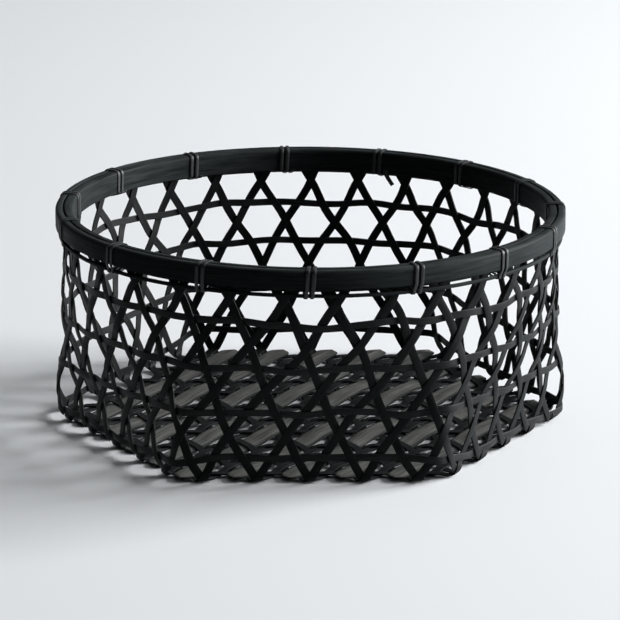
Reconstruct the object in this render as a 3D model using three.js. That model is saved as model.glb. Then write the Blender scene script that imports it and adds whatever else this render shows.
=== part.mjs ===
// A round-rimmed, six-sided-based basket of black-dyed bamboo in open hexagon weave.
// Millimetres, +Z up. The origin lies under the middle of the base, on the surface it stands on.
import * as THREE from 'three';

// Weave: three families of strips cross the base and climb the wall as slanting pairs.
const PITCH = 26.5; // from one hexagon to the next along a row
const SIDE_HEXES = 5; // hexagons along one side of the base
const HOOP_COUNT = 4; // woven hoops round the wall
const STRIP_WIDTH = 4.2;
const STRIP_THICK = 0.7;
const HOOP_WIDTH = 3.6;
const CROSSING_GAP = 0.25; // least room between two strips at a crossing
const LEVEL_SHARE = 0.65; // share of a base crossing along which a strip runs level
const FRONT_DRIFT = 6; // degrees that the weave turns between base and rim at the front, none at the back

// Wall and base
const HEIGHT = 113.2; // up to the top of the rim bands
const FOLD_REACH = 4.5; // how far from the base's edge the strips begin to turn up
const FOLD_RISE = 0.6; // extra height of the rounded base edge
const CORNER_SPAN = 0.35; // share of a pitch over which a base corner is rounded, to either side
const ROW_SAG = 5; // how far the rows of the wall sag towards the base at the left and right ends
const SAG_ROWS = 1.25; // rows above the base's edge over which the sag grows
const SLOPE_STEP = 0.05; // pitches to either side over which the wall's direction is taken
const SLOPE_RISE = 1; // height above and below over which its slope is taken
const RINGS_PER_HALF_ROW = 2; // rings of a strip in half a row of the wall
const RINGS_PER_HEX = 4; // rings of a hoop in one hexagon

// Slats threaded through the hexagon rows of the base
const SLAT_WIDTH = 12;
const SLAT_THICK = 0.6;
const SLAT_CLEAR = 0.3;
const SLAT_END = 3; // how far before the base's edge a slat stops
const SLAT_ROWS = [-4, -3, -2, -1, 0, 1, 2, 3];
const SLAT_END_STEPS = 6; // straight pieces in a slat's round end

// Rim: two bands that grip the strips' ends, and a narrow band below them
const OUTER_BAND_HEIGHT = 9.6;
const OUTER_BAND_THICK = 3.4;
const INNER_BAND_HEIGHT = 11.8;
const INNER_BAND_THICK = 4.1;
const BAND_ROUNDING = 1.2;
const BAND_CLEAR = 0.4;
const STRIP_END_DROP = 1.2; // how far the strips stop below the rim's top
const NARROW_HEIGHT = 1.7;
const NARROW_THICK = 1.2;
const NARROW_DROP = 2.6; // slit between the outer band and the narrow band
const TOP_CROSSING_DROP = 7.6; // from the outer band's lower edge to the highest crossing
const RIM_STEPS = 60;

// Ties: a flat cane wound twice round the rim at every second hexagon
const TIE_WIDTH = 1.7;
const TIE_THICK = 0.5;
const TIE_PITCH = 3.1;
const TIE_TURNS = 2;
const TIE_CLEAR = 0.25;
const TIE_BEVEL = 1.6;
const HEXES_PER_TIE = 2;

// Finishes
const STRIP_FINISH = { color: 0x17191a, roughness: 0.45, metalness: 0 };
const HOOP_FINISH = { color: 0x161819, roughness: 0.45, metalness: 0 };
const SLAT_FINISH = { color: 0x3a3c3b, roughness: 0.4, metalness: 0 };
const BAND_FINISH = { color: 0x141617, roughness: 0.38, metalness: 0 };
const NARROW_FINISH = { color: 0x181a1b, roughness: 0.42, metalness: 0 };
const TIE_FINISH = { color: 0x1d2021, roughness: 0.35, metalness: 0 };

// Directions of the three strip families
const FAMILIES = ['a', 'b', 'c'];
const HEX_SIDES = 6;
const SIXTH = Math.PI / 3;
const SIN60 = Math.sin(SIXTH);
const UP = new THREE.Vector3(0, 0, 1);

// Sizes worked out from the dimensions above
const hexCount = HEX_SIDES * SIDE_HEXES;
const halfPitch = PITCH / 2;
const lineSpacing = PITCH * SIN60;
const rimRadius = (hexCount * PITCH) / (2 * Math.PI);
const widest = Math.max(STRIP_WIDTH, HOOP_WIDTH);
const crossingReach = widest * SIN60;
const crossingLevel = crossingReach * LEVEL_SHARE;
const liftForStrips = (STRIP_THICK + CROSSING_GAP) / (2 - (4 * crossingReach) / halfPitch);
const liftForSlats = (STRIP_THICK + SLAT_THICK) / 2 + SLAT_CLEAR;
const lift = Math.max(liftForStrips, liftForSlats);
const weaveHalf = lift + STRIP_THICK / 2;
const baseMiddle = weaveHalf;
const foldTop = baseMiddle + FOLD_RISE;
const outerBandLow = HEIGHT - OUTER_BAND_HEIGHT;
const topCrossing = outerBandLow - TOP_CROSSING_DROP;
const rowHeight = (topCrossing - foldTop) / HOOP_COUNT;
const stripTop = HEIGHT - STRIP_END_DROP;
const slatReach = SLAT_WIDTH / (2 * SIN60) + STRIP_WIDTH / (2 * Math.tan(SIXTH)) + SLAT_CLEAR;
const gripRadius = rimRadius + STRIP_THICK / 2 + BAND_CLEAR;
const innerGripRadius = rimRadius - STRIP_THICK / 2 - BAND_CLEAR;
const narrowRadius = rimRadius + weaveHalf + BAND_CLEAR;

// A point of the base's outline, u pitches round it counter-clockwise from the +X corner.
function sidePoint(u) {
  const turn = ((u % hexCount) + hexCount) % hexCount;
  const side = Math.floor(turn / SIDE_HEXES);
  const along = turn / SIDE_HEXES - side;
  const corner = SIDE_HEXES * PITCH;
  const from = new THREE.Vector3(corner, 0, 0).applyAxisAngle(UP, side * SIXTH);
  const to = new THREE.Vector3(corner, 0, 0).applyAxisAngle(UP, (side + 1) * SIXTH);
  return from.lerp(to, along);
}

// The same outline with its corners rounded.
function roundedPoint(u) {
  const shares = [-1, -0.5, 0, 0.5, 1];
  const sum = new THREE.Vector3();
  shares.forEach((share) => sum.add(sidePoint(u + share * CORNER_SPAN)));
  return sum.divideScalar(shares.length);
}

// Angle of the weave at the rim, where it has drifted round at the front.
function rimAngle(u) {
  const angle = (u / hexCount) * 2 * Math.PI;
  return angle + (THREE.MathUtils.degToRad(FRONT_DRIFT) * (1 - Math.sin(angle))) / 2;
}

// How far a row of the wall has sagged: most at the first two hoops, nothing at the base's edge and the rim.
function rowSag(u, z) {
  const nearEnds = Math.cos((u / hexCount) * 2 * Math.PI) ** 4;
  const fromBase = THREE.MathUtils.smoothstep(z, foldTop, foldTop + SAG_ROWS * rowHeight);
  const toRim = 1 - THREE.MathUtils.smoothstep(z, foldTop + rowHeight, topCrossing);
  return ROW_SAG * nearEnds * fromBase * toRim;
}

// A point of the wall's middle surface: six-sided at the first hoop, round at the highest crossing.
function wallPoint(u, z) {
  const roundness = THREE.MathUtils.smoothstep(z, foldTop + rowHeight / 2, topCrossing);
  const angle = rimAngle(u);
  const round = new THREE.Vector3(Math.cos(angle), Math.sin(angle), 0).multiplyScalar(rimRadius);
  return roundedPoint(u).lerp(round, roundness).setZ(z - rowSag(u, z));
}

// A place on the wall, with its normal pointing into the basket.
function wallPlace(u, z) {
  const round = wallPoint(u + SLOPE_STEP, z).sub(wallPoint(u - SLOPE_STEP, z));
  const rise = wallPoint(u, z + SLOPE_RISE).sub(wallPoint(u, z - SLOPE_RISE));
  return { point: wallPoint(u, z), normal: rise.cross(round).normalize() };
}

// A place on the rounded edge between base and wall; v runs from -FOLD_REACH on the base to +FOLD_REACH.
function foldPlace(u, v) {
  const turn = ((v / FOLD_REACH + 1) * Math.PI) / 4;
  const inset = FOLD_REACH * (1 - Math.sin(turn));
  const rise = (FOLD_REACH + FOLD_RISE) * (1 - Math.cos(turn));
  const round = roundedPoint(u + SLOPE_STEP).sub(roundedPoint(u - SLOPE_STEP));
  const outward = round.cross(UP).normalize();
  const point = roundedPoint(u).addScaledVector(outward, -inset).setZ(baseMiddle + rise);
  const normal = outward.multiplyScalar(-Math.sin(turn)).addScaledVector(UP, Math.cos(turn));
  return { point, normal };
}

// A closed solid through rings of corners, each ring in the same order round the section.
function loft(rings, closed) {
  const sides = rings[0].length;
  const index = [];
  const spans = closed ? rings.length : rings.length - 1;
  for (let i = 0; i < spans; i++) {
    const near = i * sides;
    const far = ((i + 1) % rings.length) * sides;
    for (let k = 0; k < sides; k++) {
      const next = (k + 1) % sides;
      index.push(near + k, near + next, far + next, near + k, far + next, far + k);
    }
  }
  if (!closed) {
    const last = (rings.length - 1) * sides;
    for (let k = 1; k < sides - 1; k++) {
      index.push(0, k + 1, k, last, last + k, last + k + 1);
    }
  }
  const geometry = new THREE.BufferGeometry().setFromPoints(rings.flat());
  geometry.setIndex(index);
  geometry.computeVertexNormals();
  return geometry;
}

// A flat strip through places, each lying its own height off the middle surface.
function flatStrip(places, width, thick, closed) {
  const middles = places.map((p) => p.point.clone().addScaledVector(p.normal, p.height));
  const count = places.length;
  const rings = places.map((place, i) => {
    const before = middles[closed ? (i + count - 1) % count : Math.max(i - 1, 0)];
    const after = middles[closed ? (i + 1) % count : Math.min(i + 1, count - 1)];
    const along = after.clone().sub(before);
    const across = place.normal.clone().cross(along).normalize().multiplyScalar(width / 2);
    const upward = place.normal.clone().multiplyScalar(thick / 2);
    const corner = (s, t) => middles[i].clone().addScaledVector(across, s).addScaledVector(upward, t);
    return [corner(1, 1), corner(-1, 1), corner(-1, -1), corner(1, -1)];
  });
  return loft(rings, closed);
}

// Where a strip line leaves the base: the outline place, the wall's lean and the family along that side.
function lineExit(family, offset, sense) {
  const along = new THREE.Vector3(sense, 0, 0).applyAxisAngle(UP, family * SIXTH);
  const start = new THREE.Vector3(0, offset, 0).applyAxisAngle(UP, family * SIXTH);
  const reach = (hexCount / FAMILIES.length - Math.abs(offset) / lineSpacing) * halfPitch;
  const point = start.clone().addScaledVector(along, reach);
  const turn = (Math.atan2(point.y, point.x) + 2 * Math.PI) % (2 * Math.PI);
  const side = Math.floor(turn / SIXTH);
  const tangent = new THREE.Vector3(1, 0, 0).applyAxisAngle(UP, (side + 2) * SIXTH);
  const corner = new THREE.Vector3(SIDE_HEXES * PITCH, 0, 0).applyAxisAngle(UP, side * SIXTH);
  const u = side * SIDE_HEXES + point.distanceTo(corner) / PITCH;
  const lean = Math.sign(along.dot(tangent));
  return { point, along, u, lean, sideFamily: (side + 2) % FAMILIES.length };
}

// The height of a strip at the fold crossing: strips leaning backwards round the wall lie inside.
const foldHeight = (exit) => -exit.lean * lift;

// Height of a strip q half rows above the fold, as a share of its height at the fold.
function zigzag(q) {
  const whole = Math.floor(q);
  return (-1) ** whole * (1 - 2 * (q - whole));
}

// Places up the wall, from the fold crossing to the strip's end in the rim.
function wallPlaces(exit) {
  const places = [{ ...foldPlace(exit.u, 0), height: foldHeight(exit) }];
  const halfRow = rowHeight / 2;
  const steps = (stripTop - foldTop) / halfRow;
  const add = (q) => {
    const z = foldTop + q * halfRow;
    const flattening = THREE.MathUtils.clamp((outerBandLow - z) / TOP_CROSSING_DROP, 0, 1);
    const place = wallPlace(exit.u + (exit.lean * q) / 4, z);
    places.push({ ...place, height: foldHeight(exit) * zigzag(q) * flattening });
  };
  const ringStep = 1 / RINGS_PER_HALF_ROW;
  add(ringStep / 2);
  for (let q = ringStep; q < steps; q += ringStep) add(q);
  add(steps);
  return places;
}

// A place on the base line, a distance inwards from its exit; near the edge it follows the fold.
function basePlace(exit, inwards) {
  const v = -inwards * SIN60;
  if (v > -FOLD_REACH) return foldPlace(exit.u - (exit.lean * inwards) / (2 * PITCH), v);
  const point = exit.point.clone().addScaledVector(exit.along, -inwards).setZ(baseMiddle);
  return { point, normal: UP.clone() };
}

// Places across the base between two exits. Where a slat lies between two strips they run level past it.
function basePlaces(family, from, to) {
  const halfSteps = Math.round(from.point.distanceTo(to.point) / halfPitch);
  const thirdFamily = FAMILIES.length - family - from.sideFamily;
  const slatFamilies = [0, 2];
  const places = [];
  const add = (inwards, height) => {
    const near = inwards < halfSteps * halfPitch - inwards;
    const place = near ? basePlace(from, inwards) : basePlace(to, halfSteps * halfPitch - inwards);
    places.push({ ...place, height });
  };
  for (let j = 0; j <= halfSteps; j++) {
    const other = j % 2 === 0 ? thirdFamily : from.sideFamily;
    const height = foldHeight(from) * (-1) ** j;
    const slatHere = slatFamilies.includes(family) && slatFamilies.includes(other);
    const betweenEnds = j > 0 && j < halfSteps;
    const level = slatHere && betweenEnds ? slatReach : crossingLevel;
    if (j > 0) add(j * halfPitch - level, height);
    if (j < halfSteps) add(j * halfPitch + level, height);
  }
  return places;
}

// One strip: up one side of the wall, across the base and up the other side.
function weaveStrip(family, offset) {
  const from = lineExit(family, offset, 1);
  const to = lineExit(family, offset, -1);
  const places = [...wallPlaces(from).reverse(), ...basePlaces(family, from, to), ...wallPlaces(to)];
  return flatStrip(places, STRIP_WIDTH, STRIP_THICK, false);
}

// One hoop, woven inside one slant of strips and outside the other.
function weaveHoop(hoop) {
  const places = [];
  const z = foldTop + (hoop + 0.5) * rowHeight;
  for (let i = 0; i < RINGS_PER_HEX * hexCount; i++) {
    const turned = i / RINGS_PER_HEX;
    const height = lift * zigzag(2 * turned) * (-1) ** hoop;
    places.push({ ...wallPlace(turned + 0.25, z), height });
  }
  return flatStrip(places, HOOP_WIDTH, STRIP_THICK, true);
}

// A turned band, its top rounded off outside and half as much inside.
function turnedBand(innerRadius, thick, low, high, rounding) {
  const outerRadius = innerRadius + thick;
  const profile = [
    [innerRadius, low],
    [outerRadius, low],
    [outerRadius, high - rounding],
    [outerRadius - rounding, high],
    [innerRadius + rounding / 2, high],
    [innerRadius, high - rounding / 2],
    [innerRadius, low],
  ];
  const geometry = new THREE.LatheGeometry(profile.map(([r, z]) => new THREE.Vector2(r, z)), RIM_STEPS);
  return geometry.rotateX(Math.PI / 2);
}

// The inner band, rounded towards the inside of the basket.
function innerBand() {
  const inside = innerGripRadius - INNER_BAND_THICK;
  const low = HEIGHT - INNER_BAND_HEIGHT;
  const profile = [
    [inside, low],
    [innerGripRadius, low],
    [innerGripRadius, HEIGHT - BAND_ROUNDING / 2],
    [innerGripRadius - BAND_ROUNDING / 2, HEIGHT],
    [inside + BAND_ROUNDING, HEIGHT],
    [inside, HEIGHT - BAND_ROUNDING],
    [inside, low],
  ];
  const geometry = new THREE.LatheGeometry(profile.map(([r, z]) => new THREE.Vector2(r, z)), RIM_STEPS);
  return geometry.rotateX(Math.PI / 2);
}

const narrowHigh = outerBandLow - NARROW_DROP;
const narrowLow = narrowHigh - NARROW_HEIGHT;

// The path of one tie's cane round the rim's section: [radius, height] corners with bevelled turns.
function tieSection() {
  const stand = TIE_CLEAR + TIE_THICK / 2;
  const outer = gripRadius + OUTER_BAND_THICK + stand;
  const inner = innerGripRadius - INNER_BAND_THICK - stand;
  const high = HEIGHT + stand;
  const low = narrowLow - stand;
  return [
    [inner + TIE_BEVEL, low],
    [outer - TIE_BEVEL, low],
    [outer, low + TIE_BEVEL],
    [outer, high - TIE_BEVEL],
    [outer - TIE_BEVEL, high],
    [inner + TIE_BEVEL, high],
    [inner, high - TIE_BEVEL],
    [inner, low + TIE_BEVEL],
  ];
}

// Rings of a cane wound round the rim; its two ends lie inside the basket.
function tieRings(angle) {
  const section = tieSection();
  const outward = new THREE.Vector3(Math.cos(angle), Math.sin(angle), 0);
  const sideways = UP.clone().cross(outward);
  const turnSteps = section.length;
  const count = TIE_TURNS * turnSteps;
  const rings = [];
  for (let i = 0; i < count; i++) {
    const [r, z] = section[i % turnSteps];
    const [rBefore, zBefore] = section[(i + turnSteps - 1) % turnSteps];
    const [rAfter, zAfter] = section[(i + 1) % turnSteps];
    const first = new THREE.Vector2(z - zBefore, rBefore - r).normalize();
    const second = new THREE.Vector2(zAfter - z, r - rAfter).normalize();
    const mitre = first.clone().add(second).normalize();
    mitre.divideScalar(mitre.dot(first));
    const shift = TIE_PITCH * (i / turnSteps - (TIE_TURNS - 1 / turnSteps) / 2);
    const corner = (s, t) =>
      outward
        .clone()
        .multiplyScalar(r + mitre.x * t * (TIE_THICK / 2))
        .addScaledVector(UP, z + mitre.y * t * (TIE_THICK / 2))
        .addScaledVector(sideways, shift + s * (TIE_WIDTH / 2));
    rings.push([corner(1, 1), corner(1, -1), corner(-1, -1), corner(-1, 1)]);
  }
  return rings;
}

// The least room between neighbouring turns of a tie, measured between the rings' facing corners.
function leastTurnGap(rings) {
  const turnSteps = rings.length / TIE_TURNS;
  const gaps = rings.slice(turnSteps).map((ring, i) => ring[2].distanceTo(rings[i][1]));
  return Math.min(...gaps);
}

// A slat with round ends, lying along the second family's direction in one row of hexagons.
function baseSlat(row) {
  const reach = (2 * SIDE_HEXES - Math.abs(row)) * halfPitch - SLAT_END - SLAT_WIDTH / 2;
  const outline = new THREE.Shape();
  outline.absarc(reach, 0, SLAT_WIDTH / 2, -Math.PI / 2, Math.PI / 2, false);
  outline.absarc(-reach, 0, SLAT_WIDTH / 2, Math.PI / 2, (3 * Math.PI) / 2, false);
  const options = { depth: SLAT_THICK, bevelEnabled: false, curveSegments: SLAT_END_STEPS };
  return new THREE.ExtrudeGeometry(outline, options);
}

const basket = new THREE.Group();

function addPiece(name, geometry, finish) {
  const piece = new THREE.Mesh(geometry, new THREE.MeshStandardMaterial(finish));
  piece.name = name;
  basket.add(piece);
  return piece;
}

// Thirty strips, ten in each direction
FAMILIES.forEach((letter, family) => {
  for (let k = 0; k < 2 * SIDE_HEXES; k++) {
    const offset = (k + 0.5 - SIDE_HEXES) * lineSpacing;
    const name = `strip_${letter}_${String(k + 1).padStart(2, '0')}`;
    addPiece(name, weaveStrip(family, offset), STRIP_FINISH);
  }
});

// Hoops round the wall, lowest first
for (let hoop = 0; hoop < HOOP_COUNT; hoop++) {
  addPiece(`wall_hoop_${hoop + 1}`, weaveHoop(hoop), HOOP_FINISH);
}

// Slats between the first and third families of the base
SLAT_ROWS.forEach((row, i) => {
  const slat = addPiece(`base_slat_${i + 1}`, baseSlat(row), SLAT_FINISH);
  const middle = new THREE.Vector3(0, row * lineSpacing, 0).applyAxisAngle(UP, SIXTH);
  slat.position.copy(middle).setZ(baseMiddle - SLAT_THICK / 2);
  slat.rotation.z = SIXTH;
});

// Rim bands
const outerBand = turnedBand(gripRadius, OUTER_BAND_THICK, outerBandLow, HEIGHT, BAND_ROUNDING);
addPiece('rim_outer_band', outerBand, BAND_FINISH);
addPiece('rim_inner_band', innerBand(), BAND_FINISH);
const narrowRounding = NARROW_THICK / 4;
const narrowBand = turnedBand(narrowRadius, NARROW_THICK, narrowLow, narrowHigh, narrowRounding);
addPiece('rim_narrow_band', narrowBand, NARROW_FINISH);

// Ties over the open hexagons of the top row
for (let u = 0; u < hexCount; u += HEXES_PER_TIE) {
  const rings = tieRings(rimAngle(u));
  const name = `rim_tie_${String(u / HEXES_PER_TIE + 1).padStart(2, '0')}`;
  addPiece(name, loft(rings, false), TIE_FINISH);
  if (u === 0) console.log(`least gap between a tie's turns: ${leastTurnGap(rings).toFixed(2)} mm`);
}

export default basket;
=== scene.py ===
import math
import random

import bpy
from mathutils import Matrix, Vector


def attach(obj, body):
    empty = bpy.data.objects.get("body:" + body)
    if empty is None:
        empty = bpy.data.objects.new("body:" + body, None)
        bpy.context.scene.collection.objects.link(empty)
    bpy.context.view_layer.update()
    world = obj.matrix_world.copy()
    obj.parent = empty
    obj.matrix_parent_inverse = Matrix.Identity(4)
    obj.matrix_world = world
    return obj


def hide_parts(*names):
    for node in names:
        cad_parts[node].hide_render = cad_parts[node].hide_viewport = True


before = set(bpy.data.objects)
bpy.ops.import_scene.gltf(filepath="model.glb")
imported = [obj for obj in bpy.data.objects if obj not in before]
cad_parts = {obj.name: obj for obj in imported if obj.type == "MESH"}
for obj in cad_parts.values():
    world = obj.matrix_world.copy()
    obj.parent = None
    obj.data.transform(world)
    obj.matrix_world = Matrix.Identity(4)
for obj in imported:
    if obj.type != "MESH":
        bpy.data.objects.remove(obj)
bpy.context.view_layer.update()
bpy.context.scene.view_settings.view_transform = "Standard"

MM = 0.001
TURN = 2 * math.pi
UP = Vector((0, 0, 1))

# Weave
PITCH = 26.5 * MM
SIDE_HEXES = 5
HOOP_COUNT = 4
STRIP_WIDTH = 4.25 * MM
STRIP_THICK = 0.7 * MM
HOOP_WIDTH = 3.6 * MM
HOOP_THICK = 0.6 * MM
FRONT_DRIFT = math.radians(6)
FOLD_RISE = 0.6 * MM
CORNER_SPAN = 0.16
CORNER_SAMPLES = 4
ROUND_FROM_ROW = 0.5
SLOPE_STEP = 0.05
SLOPE_RISE = 1 * MM
BASE_MIDDLE = 1.403 * MM
WALL_LIFT = 0.52 * MM
BASE_LIFT = 0.56 * MM
UNDER_SLAT = 1.04 * MM
OVER_SLAT = 1.3 * MM
CROSSING_LEVEL = 2.0 * MM
SLAT_LEVEL = 8.0 * MM
STRIP_STEP = 1.6 * MM
STRIP_CROWN = 0.1 * MM
STRIP_DRIFT = 0.45 * MM
HOOP_STEPS_PER_HEX = 12
HOOP_FIRST_CROSSING = 0.25
HOOP_CROWN = 0.08 * MM
HOOP_DRIFT = 0.4 * MM
WEAVE_UNEVEN = 0.06
FOLD_EASING = 2
FOLD_SLANT = (2.5 * MM, 8 * MM)

# How the hand-woven wall strays from an even pattern
ROW_SAG = 6.5 * MM
SAG_ROWS = 1.1
LOW_HOOP_SAG = 5 * MM
LOW_HOOP_SIDES = (0.3, 0.75)
HOOP_3_ROW, HOOP_4_ROW = 2.5, 3.5
BACK_HOOP_3_UP = 1.6 * MM
BACK_HOOP_4_DOWN = 1.4 * MM
STRAY_ROUND = 0.013
STRAY_UP = 0.35 * MM
STRAY_WAVES = 6
STRAY_COUNTS = (7, 19)
STRAY_CLIMB = 0.45
STRAY_GROWS = 0.5
STRAY_ENDS = 0.2
RIM_TILT = 1.1 * MM
RIM_WOBBLE = 0.25 * MM
RIM_WAVES = ((1, 2, 0.8), (0.7, 5, 2.1))
WANDER_WAVES = 4

# Base slats
SLAT_WIDTH = 12 * MM
SLAT_THICK = 0.6 * MM
SLAT_END = 3 * MM
SLAT_CROWN = 0.55 * MM
SLAT_OVER_CROSSING = 1.05 * MM
SLAT_RISE = (0.25, 0.75)
SLAT_STEP = 1.5 * MM
SLAT_UNEVEN = 0.03
SLAT_TIP = 0.985
LINES_PER_SLAT_HUMP = 3
SLAT_ROWS = range(-4, 5)
LAST_CAD_SLAT_ROW = 3

# Rim
HEIGHT = 113.2 * MM
OUTER_BAND_HEIGHT = 9.6 * MM
OUTER_BAND_THICK = 3.65 * MM
INNER_BAND_HEIGHT = 11.8 * MM
INNER_BAND_THICK = 4.35 * MM
GRIP_GAP = 0.5 * MM
STRIP_END_DROP = 1.2 * MM
NARROW_HEIGHT = 1.7 * MM
NARROW_IN = 1.1 * MM
NARROW_OUT = 2.85 * MM
NARROW_DROP = 2.6 * MM
TOP_CROSSING_DROP = 7.6 * MM
RIM_STEPS = 240
BAND_ROUNDING_STEPS = 5

# Ties
TIE_WIDTH = 1.75 * MM
TIE_THICK = 0.5 * MM
TIE_PITCH = 3.1 * MM
TIE_TURNS = 2
TIE_STAND = 0.3 * MM
TIE_CROWN = 0.12 * MM
TIE_UNEVEN = 0.08
TIE_EDGE = 0.18 * MM
TIE_BEND_INSIDE = 0.9 * MM
TIE_BEND = 0.8 * MM
TIE_BEND_TOP = 2.3 * MM
TIE_BEND_STEPS = 6
TIE_STEP = 1 * MM
TAILED_TIE = 3
TAIL_START = 2.5 * MM
TAIL_DROP = 6 * MM
TAIL_SWING = 4 * MM
TAIL_OUT = 1.2 * MM
TAIL_WIDTH = 2.4 * MM
TAIL_STEPS = 12

# Cane in general
CANE_EASING = 2
CANE_EDGE = 0.14 * MM
SLAT_EDGE = 0.12 * MM
EDGE_STEPS = 2
BEVEL_FROM = math.radians(50)
SMOOTH_UP_TO = math.radians(40)
SAME_PLACE = 0.01 * MM
GRAIN_SHIFT = 37

# Seeds of the unevenness
ROUND_SEED, UP_SEED = 11, 23
STRIPS_PER_SEED_STEP = 20
HOOP_SEED, SLAT_SEED, TIE_SEED, TAIL_SEED = 80, 100, 120, 140

HEX_COUNT = 6 * SIDE_HEXES
HALF_PITCH = PITCH / 2
SIXTH = math.pi / 3
SIN60 = math.sin(SIXTH)
LINE_SPACING = PITCH * SIN60
RIM_RADIUS = HEX_COUNT * PITCH / TURN
FOLD_TOP = BASE_MIDDLE + FOLD_RISE
OUTER_BAND_LOW = HEIGHT - OUTER_BAND_HEIGHT
INNER_BAND_LOW = HEIGHT - INNER_BAND_HEIGHT
TOP_CROSSING = OUTER_BAND_LOW - TOP_CROSSING_DROP
ROW_HEIGHT = (TOP_CROSSING - FOLD_TOP) / HOOP_COUNT
HALF_ROW = ROW_HEIGHT / 2
STRIP_TOP = HEIGHT - STRIP_END_DROP
OUTER_GRIP = RIM_RADIUS + GRIP_GAP
INNER_GRIP = RIM_RADIUS - GRIP_GAP
NARROW_HIGH = OUTER_BAND_LOW - NARROW_DROP
NARROW_LOW = NARROW_HIGH - NARROW_HEIGHT
TAIL_BESIDE = 1.1 * TIE_PITCH
FAMILIES = "abc"


# The basket's surface

def turned(vector, angle):
    c, s = math.cos(angle), math.sin(angle)
    return Vector((vector.x * c - vector.y * s, vector.x * s + vector.y * c, vector.z))


def smooth(low, high, value):
    t = min(max((value - low) / (high - low), 0), 1)
    return t * t * (3 - 2 * t)


BASE_CORNERS = [turned(Vector((SIDE_HEXES * PITCH, 0, 0)), side * SIXTH) for side in range(7)]


def side_point(u):
    side, along = divmod(u % HEX_COUNT, SIDE_HEXES)
    return BASE_CORNERS[int(side)].lerp(BASE_CORNERS[int(side) + 1], along / SIDE_HEXES)


def rounded_point(u):
    shares = [k / CORNER_SAMPLES for k in range(-CORNER_SAMPLES, CORNER_SAMPLES + 1)]
    return sum((side_point(u + share * CORNER_SPAN) for share in shares), Vector()) / len(shares)


def rim_angle(u):
    angle = u / HEX_COUNT * TURN
    return angle + FRONT_DRIFT * (1 - math.sin(angle)) / 2


def rim_lift(angle):
    """The rim stands a little lower on the right than on the left."""
    return -RIM_TILT * math.cos(angle)


def rim_spread(angle):
    """The rim isn't quite a circle."""
    return RIM_WOBBLE * sum(size * math.sin(n * angle + p) for size, n, p in RIM_WAVES)


def stray_waves(seed):
    draw = random.Random(seed)
    return [
        (draw.randint(*STRAY_COUNTS), draw.uniform(-STRAY_CLIMB, STRAY_CLIMB), draw.uniform(0, TURN))
        for _ in range(STRAY_WAVES)
    ]


ROUND_WAVES, UP_WAVES = stray_waves(ROUND_SEED), stray_waves(UP_SEED)


def stray(waves, u, row):
    """Unevenness of the weave at a place of the wall, none at the base's edge and at the rim."""
    near_rim = smooth(HOOP_COUNT - STRAY_ENDS, HOOP_COUNT + STRAY_ENDS, row)
    held = smooth(0, STRAY_GROWS, row) * (1 - near_rim)
    return held * sum(math.sin(TURN * (m * u / HEX_COUNT + n * row) + p) for m, n, p in waves)


def row_rise(u, row, angle):
    """How far a row of hexagons lies above its even height, all causes together."""
    across = abs(math.cos(TURN * u / HEX_COUNT))
    sag = ROW_SAG * across ** 4 * smooth(0, SAG_ROWS, row) * (1 - smooth(1, HOOP_COUNT, row))
    if 0 < row < 1:
        sag += LOW_HOOP_SAG * smooth(*LOW_HOOP_SIDES, across) * math.sin(math.pi * row) ** 2
    at_back = max(0, math.sin(TURN * u / HEX_COUNT))
    third, fourth = (max(0, 1 - abs(row - hoop_row)) for hoop_row in (HOOP_3_ROW, HOOP_4_ROW))
    back = at_back * (BACK_HOOP_3_UP * third - BACK_HOOP_4_DOWN * fourth)
    tilt = rim_lift(angle) * smooth(0, HOOP_COUNT, row)
    return STRAY_UP * stray(UP_WAVES, u, row) - sag + back + tilt


def wall_point(u, z):
    row = (z - FOLD_TOP) / ROW_HEIGHT
    shifted = u + STRAY_ROUND * stray(ROUND_WAVES, u, row)
    angle = rim_angle(shifted)
    ring = Vector((math.cos(angle), math.sin(angle), 0)) * (RIM_RADIUS + rim_spread(angle))
    point = rounded_point(shifted).lerp(ring, smooth(ROUND_FROM_ROW, HOOP_COUNT, row))
    point.z = z + row_rise(u, row, angle)
    return point


def wall_place(u, z):
    around = wall_point(u + SLOPE_STEP, z) - wall_point(u - SLOPE_STEP, z)
    rise = wall_point(u, z + SLOPE_RISE) - wall_point(u, z - SLOPE_RISE)
    return wall_point(u, z), rise.cross(around).normalized()


# One strip's way through the weave

def line_exit(family, offset, sense):
    """Where a strip line leaves the base, and which way it leans up the wall."""
    along = turned(Vector((sense, 0, 0)), family * SIXTH)
    reach = (HEX_COUNT / 3 - abs(offset) / LINE_SPACING) * HALF_PITCH
    point = turned(Vector((0, offset, 0)), family * SIXTH) + along * reach
    side = int((math.atan2(point.y, point.x) % TURN) // SIXTH)
    lean = 1 if along.dot(turned(Vector((1, 0, 0)), (side + 2) * SIXTH)) > 0 else -1
    u = side * SIDE_HEXES + (point - BASE_CORNERS[side]).length / PITCH
    edge = (BASE_CORNERS[side + 1] - BASE_CORNERS[side]).normalized()
    return {
        "point": point, "along": along, "u": u, "lean": lean, "edge": edge,
        "side_family": (side + 2) % len(FAMILIES),
    }


def height_at(keys, t):
    for (t0, h0), (t1, h1) in zip(keys, keys[1:]):
        if t <= t1:
            return h0 + (h1 - h0) * smooth(t0, t1, t)
    return keys[-1][1]


def slat_on_top(line):
    """The slats lie over both strips at every third crossing, and between them at the others."""
    return line % LINES_PER_SLAT_HUMP == 1


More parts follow.
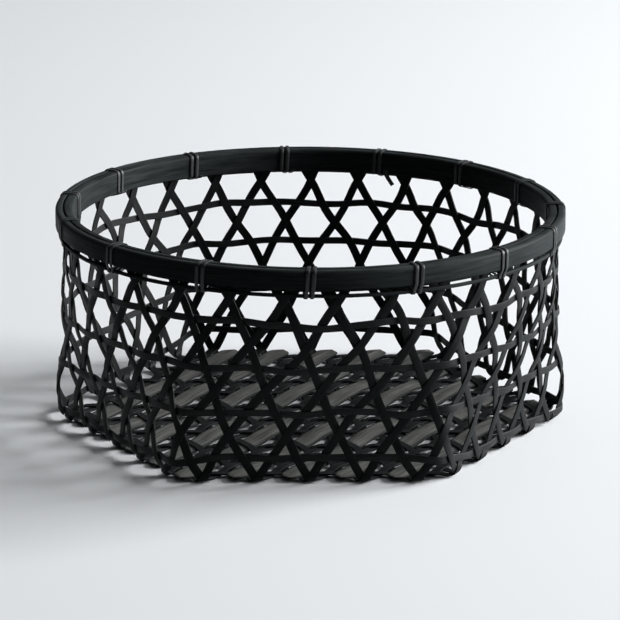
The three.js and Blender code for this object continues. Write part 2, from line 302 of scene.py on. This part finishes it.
def crossing_heights(family, start, steps, climb):
    """Heights off the middle surface along a strip, level at each crossing."""
    third = 3 - family - start["side_family"]
    keys = []
    for k in range(-int(climb) - 1, steps + int(climb) + 2):
        sign = -start["lean"] * (-1) ** k
        on_base = 0 < k < steps
        other = third if k % 2 == 0 else start["side_family"]
        crossing = start["point"] - start["along"] * (k * HALF_PITCH)
        line = round(crossing.y / LINE_SPACING + SIDE_HEXES + 0.5)
        lift, level = BASE_LIFT if on_base else WALL_LIFT, CROSSING_LEVEL
        if on_base and {family, other} == {0, 2} and not slat_on_top(line):
            lift, level = OVER_SLAT if sign > 0 else UNDER_SLAT, SLAT_LEVEL
        keys += [(k * HALF_PITCH - level, sign * lift), (k * HALF_PITCH + level, sign * lift)]
    return keys


def strip_places(family, offset):
    """A strip's places, and how far it turns along the base's edge where it is folded."""
    start, end = line_exit(family, offset, 1), line_exit(family, offset, -1)
    chord = (start["point"] - end["point"]).length
    climb = (STRIP_TOP - FOLD_TOP) / HALF_ROW
    keys = crossing_heights(family, start, round(chord / HALF_PITCH), climb)
    low, high = -climb * HALF_PITCH, chord + climb * HALF_PITCH
    count = round((high - low) / STRIP_STEP)
    points, normals, heights, slants = [], [], [], []
    for i in range(count + 1):
        t = low + (high - low) * i / count
        past = max(-t, t - chord) / HALF_PITCH
        leave = start if t < chord / 2 else end
        z = FOLD_TOP + past * HALF_ROW
        if past > 0:
            point, normal = wall_place(leave["u"] + leave["lean"] * past / 4, z)
        else:
            point, normal = start["point"] - start["along"] * t + UP * BASE_MIDDLE, UP
        flattening = 1 - smooth(TOP_CROSSING, OUTER_BAND_LOW, z)
        points.append(point)
        normals.append(normal)
        heights.append(height_at(keys, t) * flattening)
        slants.append((leave["edge"], 1 - smooth(*FOLD_SLANT, min(abs(t), abs(t - chord)))))
    normals = [n.normalized() for n in eased(normals, FOLD_EASING)]
    points = eased(points, FOLD_EASING)
    return [(p + n * h, n) for p, n, h in zip(points, normals, heights)], slants


def hoop_places(hoop):
    """A hoop's places, over and under the strips in turn, with a flat top to each wave."""
    z = FOLD_TOP + (hoop + 0.5) * ROW_HEIGHT
    count = HOOP_STEPS_PER_HEX * HEX_COUNT
    places = []
    for i in range(count):
        u = i * HEX_COUNT / count
        wave = math.cos(TURN * (u - HOOP_FIRST_CROSSING)) * (-1) ** hoop
        point, normal = wall_place(u, z)
        flat_topped = wave * (3 - wave * wave) / 2
        places.append((point + normal * WALL_LIFT * flat_topped, normal))
    return places


# Shaping

def only(piece):
    bpy.ops.object.select_all(action="DESELECT")
    piece.select_set(True)
    bpy.context.view_layer.objects.active = piece


def apply_all(piece):
    only(piece)
    for modifier in list(piece.modifiers):
        bpy.ops.object.modifier_apply(modifier=modifier.name)


def eased(points, rounds, closed=False):
    for _ in range(rounds):
        last = len(points) - 1
        points = [
            p if not closed and i in (0, last)
            else (points[i - 1] + p * 2 + points[(i + 1) % len(points)]) / 4
            for i, p in enumerate(points)
        ]
    return points


def wander(seed, share):
    """A slow, seeded unevenness along a piece, from -share to share."""
    draw = random.Random(seed)
    waves = [
        (draw.uniform(0.6, 1), draw.randint(1, 3) + 3 * k, draw.uniform(0, TURN))
        for k in range(WANDER_WAVES)
    ]
    total = sum(size for size, _, _ in waves)
    return lambda t: share * sum(s * math.sin(TURN * n * t + p) for s, n, p in waves) / total


def flat_cane(name, places, width, thick, closed=False, crown=0.0, seed=0, uneven=0.05, drift=0.0,
              across=4, edge=CANE_EDGE, slants=None):
    """A flat split cane along places: crowned, with round edges and a UV map in mm along the grain."""
    middles = eased([p for p, _ in places], CANE_EASING, closed)
    normals = eased([n for _, n in places], CANE_EASING, closed)
    count = len(middles)
    rows = count + 1 if closed else count
    bpy.ops.object.select_all(action="DESELECT")
    bpy.ops.mesh.primitive_grid_add(x_subdivisions=across, y_subdivisions=rows - 1, size=1)
    cane = bpy.context.object
    cane.name = cane.data.name = name
    lengths, run = [0.0], 0.0
    for i in range(1, rows):
        run += (middles[i % count] - middles[i - 1]).length
        lengths.append(run)
    widen, sway = wander(seed, uneven), wander(seed + 0.5, drift)
    columns = across + 1
    spot = {}
    for i in range(rows):
        k = i % count
        before = middles[k - 1] if closed or k > 0 else middles[0]
        after = middles[(k + 1) % count] if closed or k < count - 1 else middles[-1]
        normal = normals[k].normalized()
        side = normal.cross(after - before).normalized()
        if slants:
            direction, amount = slants[k]
            side = side.lerp(direction / direction.dot(side), amount)
        share = lengths[i] / run
        half = width / 2 * (1 + widen(share))
        for j in range(columns):
            x = 2 * j / across - 1
            place = middles[k] + side * (x * half + sway(share)) - normal * crown * (1 - x * x)
            spot[i * columns + j] = (place, (x * width / 2 / MM, lengths[i] / MM + seed * GRAIN_SHIFT))
    for vertex in cane.data.vertices:
        vertex.co = spot[vertex.index][0]
    layer = cane.data.uv_layers.active.data
    for loop in cane.data.loops:
        layer[loop.index].uv = spot[loop.vertex_index][1]
    if closed:
        only(cane)
        bpy.ops.object.mode_set(mode="EDIT")
        bpy.ops.mesh.select_all(action="SELECT")
        bpy.ops.mesh.remove_doubles(threshold=SAME_PLACE)
        bpy.ops.object.mode_set(mode="OBJECT")
    wall = cane.modifiers.new("thickness", "SOLIDIFY")
    wall.thickness, wall.offset, wall.material_offset = thick, 0, 1
    rounding = cane.modifiers.new("edges", "BEVEL")
    rounding.width, rounding.segments, rounding.limit_method = edge, EDGE_STEPS, "ANGLE"
    rounding.angle_limit = BEVEL_FROM
    apply_all(cane)
    bpy.ops.mesh.customdata_custom_splitnormals_clear()
    bpy.ops.object.shade_smooth_by_angle(angle=SMOOTH_UP_TO)
    return cane


def rim_hoop(name, inner, outer, low, high, top_in, top_out, foot):
    """A rim band: a rounded rectangle spun round the basket's axis, and left a little uneven."""
    bpy.ops.object.select_all(action="DESELECT")
    bpy.ops.mesh.primitive_plane_add(size=1)
    band = bpy.context.object
    band.name = band.data.name = name
    corners = [(inner, low), (outer, low), (inner, high), (outer, high)]
    for vertex, (r, z) in zip(band.data.vertices, corners):
        vertex.co = (r, 0, z)
    bpy.ops.object.mode_set(mode="EDIT")
    for radius, (r, z) in zip((foot, foot, top_in, top_out), corners):
        bpy.ops.mesh.select_all(action="DESELECT")
        bpy.ops.object.mode_set(mode="OBJECT")
        for vertex in band.data.vertices:
            vertex.select = (vertex.co - Vector((r, 0, z))).length < SAME_PLACE
        bpy.ops.object.mode_set(mode="EDIT")
        bpy.ops.mesh.select_mode(type="VERT")
        bpy.ops.mesh.bevel(offset=radius, segments=BAND_ROUNDING_STEPS, affect="VERTICES")
    bpy.ops.mesh.select_all(action="SELECT")
    bpy.ops.mesh.delete(type="ONLY_FACE")
    bpy.ops.mesh.select_all(action="SELECT")
    bpy.ops.mesh.spin(steps=RIM_STEPS, angle=TURN, center=(0, 0, 0), axis=(0, 0, 1))
    bpy.ops.mesh.select_all(action="SELECT")
    bpy.ops.mesh.remove_doubles(threshold=SAME_PLACE / 2)
    bpy.ops.mesh.normals_make_consistent(inside=False)
    bpy.ops.object.mode_set(mode="OBJECT")
    for vertex in band.data.vertices:
        angle = math.atan2(vertex.co.y, vertex.co.x)
        vertex.co += turned(Vector((1, 0, 0)), angle) * rim_spread(angle) + UP * rim_lift(angle)
    bpy.ops.object.shade_smooth_by_angle(angle=SMOOTH_UP_TO)
    return band


def tie_section():
    """The closed way of a tie round the rim: under it, up outside, over the top, down inside."""
    inner = INNER_GRIP - INNER_BAND_THICK - TIE_STAND
    outer = OUTER_GRIP + OUTER_BAND_THICK + TIE_STAND
    narrow, top = RIM_RADIUS + NARROW_OUT + TIE_STAND, HEIGHT + TIE_STAND
    corners = [
        (inner, INNER_BAND_LOW - TIE_STAND, TIE_BEND_INSIDE),
        (RIM_RADIUS + NARROW_IN, NARROW_LOW - TIE_STAND, TIE_BEND),
        (narrow, NARROW_LOW - TIE_STAND, TIE_BEND),
        (narrow, NARROW_HIGH, TIE_BEND),
        (outer, OUTER_BAND_LOW, TIE_BEND),
        (outer, top, TIE_BEND_TOP),
        (inner, top, TIE_BEND_TOP),
    ]
    way = []
    for i, (r, z, reach) in enumerate(corners):
        corner = Vector((r, z))
        before, after = Vector(corners[i - 1][:2]), Vector(corners[(i + 1) % len(corners)][:2])
        start = corner + (before - corner).normalized() * reach
        end = corner + (after - corner).normalized() * reach
        for k in range(TIE_BEND_STEPS + 1):
            t = k / TIE_BEND_STEPS
            way.append(start.lerp(corner, t).lerp(corner.lerp(end, t), t))
    dense = []
    for point, after in zip(way, way[1:] + way[:1]):
        pieces = max(1, round((after - point).length / TIE_STEP))
        dense += [point.lerp(after, k / pieces) for k in range(pieces)]
    return dense


def tie_frame(angle):
    """Directions at a tie: outwards, sideways, and its seat on the uneven rim."""
    outward, sideways = turned(Vector((1, 0, 0)), angle), turned(Vector((0, 1, 0)), angle)
    return outward, sideways, outward * rim_spread(angle) + UP * rim_lift(angle)


def tie_places(angle):
    """The cane's way along the rim's section, moving one pitch sideways in each turn."""
    section = tie_section()
    count = len(section)
    outward, sideways, seat = tie_frame(angle)
    places = []
    for i in range(count * TIE_TURNS + 1):
        r, z = section[i % count]
        run = section[(i + 1) % count] - section[(i - 1) % count]
        shift = TIE_PITCH * (i / count - TIE_TURNS / 2)
        point = seat + outward * r + UP * z + sideways * shift
        places.append((point, (outward * run.y - UP * run.x).normalized()))
    return places


def tail_places(angle):
    """A cut end that hangs down inside, beside its tie."""
    outward, sideways, seat = tie_frame(angle)
    r = INNER_GRIP - INNER_BAND_THICK - TIE_STAND
    places = []
    for i in range(TAIL_STEPS + 1):
        t = i / TAIL_STEPS
        z = INNER_BAND_LOW + TAIL_START - (TAIL_DROP + TAIL_START) * t
        swing = TAIL_BESIDE + TAIL_SWING * t ** 1.5
        point = seat + outward * (r + TAIL_OUT * t * t) + UP * z - sideways * swing
        places.append((point, -outward))
    return places


# Finishes

FIBRES = (3.2, 0.05, 1.0)
PATCHES = (0.5, 0.022, 1.0)
SPECKS = (1.6, 0.5, 1.0)
EDGE_WEAR_AND_SHADE = (0.72, 1.02)
POLISH = (0.38, 0.58)
GRAIN_RELIEF = 0.25
GRAIN_DEPTH = 0.12 * MM
BAND_GRAIN = (50, 1000, 1000)


def grain_group():
    """Split and dyed bamboo: fibres, longer patches and specks along the cane's Y; a positive Edge
    lightens the edges as wear, a negative one darkens them as painted shade.
    """
    group = bpy.data.node_groups.new("split_bamboo_grain", "ShaderNodeTree")
    inputs = (
        ("Coordinate", "Vector"), ("Dark", "Color"), ("Light", "Color"),
        ("Half Width", "Float"), ("Edge", "Float"), ("Matt", "Float"),
    )
    for name, kind in inputs:
        group.interface.new_socket(name=name, in_out="INPUT", socket_type="NodeSocket" + kind)
    for name, kind in (("Color", "Color"), ("Roughness", "Float"), ("Height", "Float")):
        group.interface.new_socket(name=name, in_out="OUTPUT", socket_type="NodeSocket" + kind)
    node, link = group.nodes.new, group.links.new
    given, out = node("NodeGroupInput"), node("NodeGroupOutput")

    def streaks(scale, detail):
        stretch = node("ShaderNodeMapping")
        stretch.inputs["Scale"].default_value = scale
        noise = node("ShaderNodeTexNoise")
        noise.inputs["Scale"].default_value = 1
        noise.inputs["Detail"].default_value = detail
        noise.inputs["Roughness"].default_value = 0.6
        link(given.outputs["Coordinate"], stretch.inputs["Vector"])
        link(stretch.outputs["Vector"], noise.inputs["Vector"])
        return noise.outputs["Fac"]

    def ranged(value, *ends):
        remap = node("ShaderNodeMapRange")
        for name, number in zip(("From Min", "From Max", "To Min", "To Max"), ends):
            remap.inputs[name].default_value = number
        link(value, remap.inputs["Value"])
        return remap.outputs["Result"]

    def worked(kind, a, b):
        math_node = node("ShaderNodeMath")
        math_node.operation = kind
        for socket, value in zip(math_node.inputs, (a, b)):
            if isinstance(value, (int, float)):
                socket.default_value = value
            elif value is not None:
                link(value, socket)
        return math_node.outputs[0]

    fibres = streaks(FIBRES, 3)
    patches = streaks(PATCHES, 2)
    specks = streaks(SPECKS, 2)
    split = node("ShaderNodeSeparateXYZ")
    link(given.outputs["Coordinate"], split.inputs[0])
    aside = worked("ABSOLUTE", split.outputs["X"], None)
    reach = worked("DIVIDE", aside, given.outputs["Half Width"])
    # Edge band: lighter edges as wear where Edge is positive, darker edges as painted shade where it
    # is negative.
    edge = worked("MULTIPLY", ranged(reach, *EDGE_WEAR_AND_SHADE, 0.0, 1.0), given.outputs["Edge"])
    tone = worked("ADD", ranged(fibres, 0.35, 0.7, 0.0, 0.55), ranged(patches, 0.35, 0.7, 0.0, 0.45))
    tone = worked("ADD", worked("MULTIPLY", tone, ranged(specks, 0.25, 0.5, 0.75, 1.0)), edge)
    mix = node("ShaderNodeMix")
    mix.data_type = "RGBA"
    link(tone, mix.inputs["Factor"])
    link(given.outputs["Dark"], mix.inputs["A"])
    link(given.outputs["Light"], mix.inputs["B"])
    link(mix.outputs["Result"], out.inputs["Color"])
    polish = ranged(patches, 0.3, 0.7, *POLISH)
    link(worked("ADD", polish, given.outputs["Matt"]), out.inputs["Roughness"])
    link(fibres, out.inputs["Height"])
    return group


GRAIN = grain_group()


# edge above zero lightens a cane's edges as wear; below zero it darkens them as painted shade.
def finish_of(name, dark, light, half_width, edge=0.4, round_band=False, gloss=0.03, matt=0.0):
    material = bpy.data.materials.new(name)
    material.use_nodes = True
    tree = material.node_tree
    node, link = tree.nodes.new, tree.links.new
    shader = tree.nodes["Principled BSDF"]
    where = node("ShaderNodeTexCoord")
    grain = node("ShaderNodeGroup")
    grain.node_tree = GRAIN
    grain.inputs["Dark"].default_value = (*dark, 1)
    grain.inputs["Light"].default_value = (*light, 1)
    grain.inputs["Half Width"].default_value = half_width / MM
    grain.inputs["Edge"].default_value = edge
    grain.inputs["Matt"].default_value = matt
    if round_band:
        lay = node("ShaderNodeMapping")
        lay.inputs["Rotation"].default_value = (0, math.pi / 2, 0)
        lay.inputs["Scale"].default_value = BAND_GRAIN
        link(where.outputs["Object"], lay.inputs["Vector"])
        link(lay.outputs["Vector"], grain.inputs["Coordinate"])
    else:
        link(where.outputs["UV"], grain.inputs["Coordinate"])
    raised = node("ShaderNodeBump")
    raised.inputs["Strength"].default_value = GRAIN_RELIEF
    raised.inputs["Distance"].default_value = GRAIN_DEPTH
    link(grain.outputs["Height"], raised.inputs["Height"])
    link(grain.outputs["Color"], shader.inputs["Base Color"])
    link(grain.outputs["Roughness"], shader.inputs["Roughness"])
    link(raised.outputs["Normal"], shader.inputs["Normal"])
    shader.inputs["Specular IOR Level"].default_value = gloss
    return material


strip_face = finish_of(
    "black_dyed_strip", (0.015, 0.0175, 0.018), (0.068, 0.075, 0.076), STRIP_WIDTH / 2,
)
# Painted shade: a darker copy of the strip finish for the inner faces, which also face up on the base.
strip_back_painted_shade = finish_of(
    "strip_inner_face_painted_shade", (0.004, 0.0048, 0.005), (0.02, 0.0225, 0.023), STRIP_WIDTH / 2, gloss=0.08,
)
hoop_face = finish_of(
    "black_dyed_hoop", (0.015, 0.017, 0.0175), (0.065, 0.071, 0.072), HOOP_WIDTH / 2,
)
# Painted shade: a darker copy of the hoop finish for the inner faces.
hoop_back_painted_shade = finish_of(
    "hoop_inner_face_painted_shade", (0.006, 0.007, 0.0072), (0.03, 0.033, 0.034), HOOP_WIDTH / 2, gloss=0.12,
)
# Painted shade: edge=-0.6 darkens the slat's long edges beside its crown.
slat_grey_painted_edge_shade = finish_of(
    "worn_grey_slat_painted_edge_shade", (0.03, 0.032, 0.031), (0.24, 0.24, 0.23), SLAT_WIDTH / 2, edge=-0.6, matt=0.3,
)
tie_black = finish_of(
    "black_dyed_tie", (0.008, 0.0095, 0.01), (0.05, 0.056, 0.058), TIE_WIDTH / 2, gloss=0.35,
)
band_black = finish_of(
    "black_dyed_band", (0.014, 0.017, 0.018), (0.047, 0.054, 0.056), 1, edge=0, round_band=True,
)
# Painted shade: the inner band is a darker copy of the outer band's finish.
inner_band_painted_shade = finish_of(
    "black_dyed_inner_band_painted_shade", (0.006, 0.0075, 0.008), (0.04, 0.046, 0.048), 1, edge=0, round_band=True,
)


def place(piece, materials, slot, *nodes):
    """Gives a piece its finishes, the inner or upper face's first, puts it in the root body and hides
    the parts of the nodes it stands for; the slot argument is not used.
    """
    piece.data.materials.clear()
    for material in materials:
        piece.data.materials.append(material)
    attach(piece, "root")
    if nodes:
        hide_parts(*nodes)


# Strips and hoops

for family, letter in enumerate(FAMILIES):
    for k in range(2 * SIDE_HEXES):
        offset = (k + 0.5 - SIDE_HEXES) * LINE_SPACING
        node_name = f"strip_{letter}_{k + 1:02d}"
        places, slants = strip_places(family, offset)
        strip = flat_cane(
            "woven_" + node_name, places, STRIP_WIDTH, STRIP_THICK,
            crown=STRIP_CROWN, seed=family * STRIPS_PER_SEED_STEP + k + 1,
            uneven=WEAVE_UNEVEN, drift=STRIP_DRIFT, slants=slants,
        )
        place(strip, (strip_back_painted_shade, strip_face), "weave_strip", node_name)

for hoop in range(HOOP_COUNT):
    node_name = f"wall_hoop_{hoop + 1}"
    ring = flat_cane(
        "woven_" + node_name, hoop_places(hoop), HOOP_WIDTH, HOOP_THICK,
        closed=True, crown=HOOP_CROWN, seed=HOOP_SEED + hoop, uneven=WEAVE_UNEVEN, drift=HOOP_DRIFT,
    )
    place(ring, (hoop_back_painted_shade, hoop_face), "wall_hoop", node_name)


# Base slats, with their ends cut round

def slat_seat(station):
    """A slat's height off the base's middle, at a place counted in crossings along it."""
    line = math.floor(station)
    low, high = (SLAT_OVER_CROSSING * slat_on_top(n) for n in (line, line + 1))
    return low + (high - low) * smooth(*SLAT_RISE, station - line)


for index, row in enumerate(SLAT_ROWS):
    reach = (2 * SIDE_HEXES - abs(row)) * HALF_PITCH - SLAT_END
    middle = turned(Vector((0, row * LINE_SPACING, BASE_MIDDLE)), SIXTH)
    along = turned(Vector((1, 0, 0)), SIXTH)
    steps = round(2 * reach / SLAT_STEP)
    line = []
    for i in range(steps + 1):
        t = reach * (2 * i / steps - 1)
        station = t / PITCH + row / 2 + SIDE_HEXES + 0.5
        line.append((middle + along * t + UP * slat_seat(station), UP))
    slat = flat_cane(
        f"base_slat_cane_{index + 1}", line, SLAT_WIDTH, SLAT_THICK,
        crown=-SLAT_CROWN, seed=SLAT_SEED + index, uneven=SLAT_UNEVEN, across=8, edge=SLAT_EDGE,
    )
    for vertex in slat.data.vertices:
        here = vertex.co - middle
        t = here.dot(along)
        side = here - along * t
        side.z = 0
        past = max(0.0, abs(t) - (reach - SLAT_WIDTH / 2)) / (SLAT_WIDTH / 2)
        vertex.co -= side * (1 - math.sqrt(max(0.0, 1 - min(past, SLAT_TIP) ** 2)))
    nodes = [f"base_slat_{index + 1}"] if row <= LAST_CAD_SLAT_ROW else []
    place(slat, (slat_grey_painted_edge_shade, slat_grey_painted_edge_shade), "base_slat", *nodes)

# Rim bands

outer_band = rim_hoop(
    "rim_band_outside", OUTER_GRIP, OUTER_GRIP + OUTER_BAND_THICK, OUTER_BAND_LOW, HEIGHT,
    top_in=0.4 * MM, top_out=1.8 * MM, foot=0.5 * MM,
)
place(outer_band, (band_black,), "rim_band", "rim_outer_band")
inner_band = rim_hoop(
    "rim_band_inside", INNER_GRIP - INNER_BAND_THICK, INNER_GRIP, INNER_BAND_LOW, HEIGHT,
    top_in=1.8 * MM, top_out=0.4 * MM, foot=0.5 * MM,
)
place(inner_band, (inner_band_painted_shade,), "rim_band", "rim_inner_band")
narrow_band = rim_hoop(
    "rim_band_narrow", RIM_RADIUS + NARROW_IN, RIM_RADIUS + NARROW_OUT, NARROW_LOW, NARROW_HIGH,
    top_in=0.35 * MM, top_out=0.45 * MM, foot=0.4 * MM,
)
place(narrow_band, (band_black,), "rim_band", "rim_narrow_band")

# Ties, one of them with its cut end showing

for index in range(HEX_COUNT // 2):
    angle = rim_angle(2 * index)
    tie = flat_cane(
        f"wound_tie_{index + 1:02d}", tie_places(angle), TIE_WIDTH, TIE_THICK,
        crown=-TIE_CROWN, seed=TIE_SEED + index, uneven=TIE_UNEVEN, edge=TIE_EDGE,
    )
    if index == TAILED_TIE:
        tail = flat_cane(
            "tie_tail", tail_places(angle), TAIL_WIDTH, TIE_THICK, seed=TAIL_SEED, edge=TIE_EDGE,
        )
        only(tie)
        tail.select_set(True)
        bpy.ops.object.join()
    place(tie, (tie_black, tie_black), "rim_tie", f"rim_tie_{index + 1:02d}")


# Stage

FLOOR_SIZE = 12
FLOOR_SEEN = (0.73, 0.75, 0.77)
FLOOR_THROWN_BACK = (0.08, 0.08, 0.08)
BRIGHT_SIDE = (0.5, 0.85, 0.15)
DIM_TO_BRIGHT = (-0.7, 0.8)
SKY_STRENGTH = (0.012, 0.22)
SKY_COLOUR = (0.95, 0.97, 1.0, 1)


def pale_floor(seen, thrown_back):
    """A matt floor in its pale colour where it is seen, which throws little light back."""
    material = bpy.data.materials.new("pale_floor")
    material.use_nodes = True
    tree = material.node_tree
    shader = tree.nodes["Principled BSDF"]
    shader.inputs["Roughness"].default_value = 0.9
    shader.inputs["Specular IOR Level"].default_value = 0.1
    path = tree.nodes.new("ShaderNodeLightPath")
    looked_at = path.outputs["Is Camera Ray"]
    for ray in ("Is Glossy Ray", "Is Transmission Ray"):
        either = tree.nodes.new("ShaderNodeMath")
        either.operation = "MAXIMUM"
        tree.links.new(looked_at, either.inputs[0])
        tree.links.new(path.outputs[ray], either.inputs[1])
        looked_at = either.outputs[0]
    mix = tree.nodes.new("ShaderNodeMix")
    mix.data_type = "RGBA"
    mix.inputs["A"].default_value = (*thrown_back, 1)
    mix.inputs["B"].default_value = (*seen, 1)
    tree.links.new(looked_at, mix.inputs["Factor"])
    tree.links.new(mix.outputs["Result"], shader.inputs["Base Color"])
    return material


bpy.ops.object.select_all(action="DESELECT")
bpy.ops.mesh.primitive_plane_add(size=FLOOR_SIZE, location=(0, 0, 0))
floor = bpy.context.object
floor.name = "studio_floor"
floor.data.materials.append(pale_floor(FLOOR_SEEN, FLOOR_THROWN_BACK))

world = bpy.data.worlds.new("studio")
bpy.context.scene.world = world
world.use_nodes = True
sky = world.node_tree
direction = sky.nodes.new("ShaderNodeTexCoord")
towards_window = sky.nodes.new("ShaderNodeVectorMath")
towards_window.operation = "DOT_PRODUCT"
towards_window.inputs[1].default_value = BRIGHT_SIDE
sky.links.new(direction.outputs["Generated"], towards_window.inputs[0])
glow = sky.nodes.new("ShaderNodeMapRange")
ends = (*DIM_TO_BRIGHT, *SKY_STRENGTH)
for socket, number in zip(("From Min", "From Max", "To Min", "To Max"), ends):
    glow.inputs[socket].default_value = number
sky.links.new(towards_window.outputs["Value"], glow.inputs["Value"])
sky.links.new(glow.outputs["Result"], sky.nodes["Background"].inputs["Strength"])
sky.nodes["Background"].inputs["Color"].default_value = SKY_COLOUR


def softbox(name, place_at, aim, size, power):
    light = bpy.data.lights.new(name, "AREA")
    light.shape, light.size, light.energy = "SQUARE", size, power
    lamp = bpy.data.objects.new(name, light)
    bpy.context.scene.collection.objects.link(lamp)
    lamp.location = place_at
    lamp.rotation_euler = (Vector(aim) - Vector(place_at)).to_track_quat("-Z", "Y").to_euler()


softbox("window_right", place_at=(2.9, 0.6, 1.25), aim=(0, 0, 0.05), size=2.0, power=285)
softbox("overhead", place_at=(0.1, 0.6, 2.2), aim=(0, 0, 0), size=1.2, power=3)

# Camera at the photograph's angle

FOCUS_PIXELS = 4064
FRAME_PIXELS = 620
CAMERA_DISTANCE = 2.1
LOOK_DOWN = 0.27
AIM_HEIGHT = 0.0665
AIM_SHIFT = (-0.27 / FOCUS_PIXELS, 17.64 / FOCUS_PIXELS)
camera_data = bpy.data.cameras.new("photo_camera")
camera_data.sensor_width = 36
camera_data.lens = FOCUS_PIXELS / FRAME_PIXELS * camera_data.sensor_width
camera_data.clip_start, camera_data.clip_end = 0.05, 50
camera = bpy.data.objects.new("photo_camera", camera_data)
bpy.context.scene.collection.objects.link(camera)
camera.location = (
    0, -CAMERA_DISTANCE * math.cos(LOOK_DOWN), AIM_HEIGHT + CAMERA_DISTANCE * math.sin(LOOK_DOWN),
)
aim_down = LOOK_DOWN + AIM_SHIFT[1]
heading = Vector((AIM_SHIFT[0], math.cos(aim_down), -math.sin(aim_down)))
camera.rotation_euler = heading.to_track_quat("-Z", "Y").to_euler()
bpy.context.scene.camera = camera
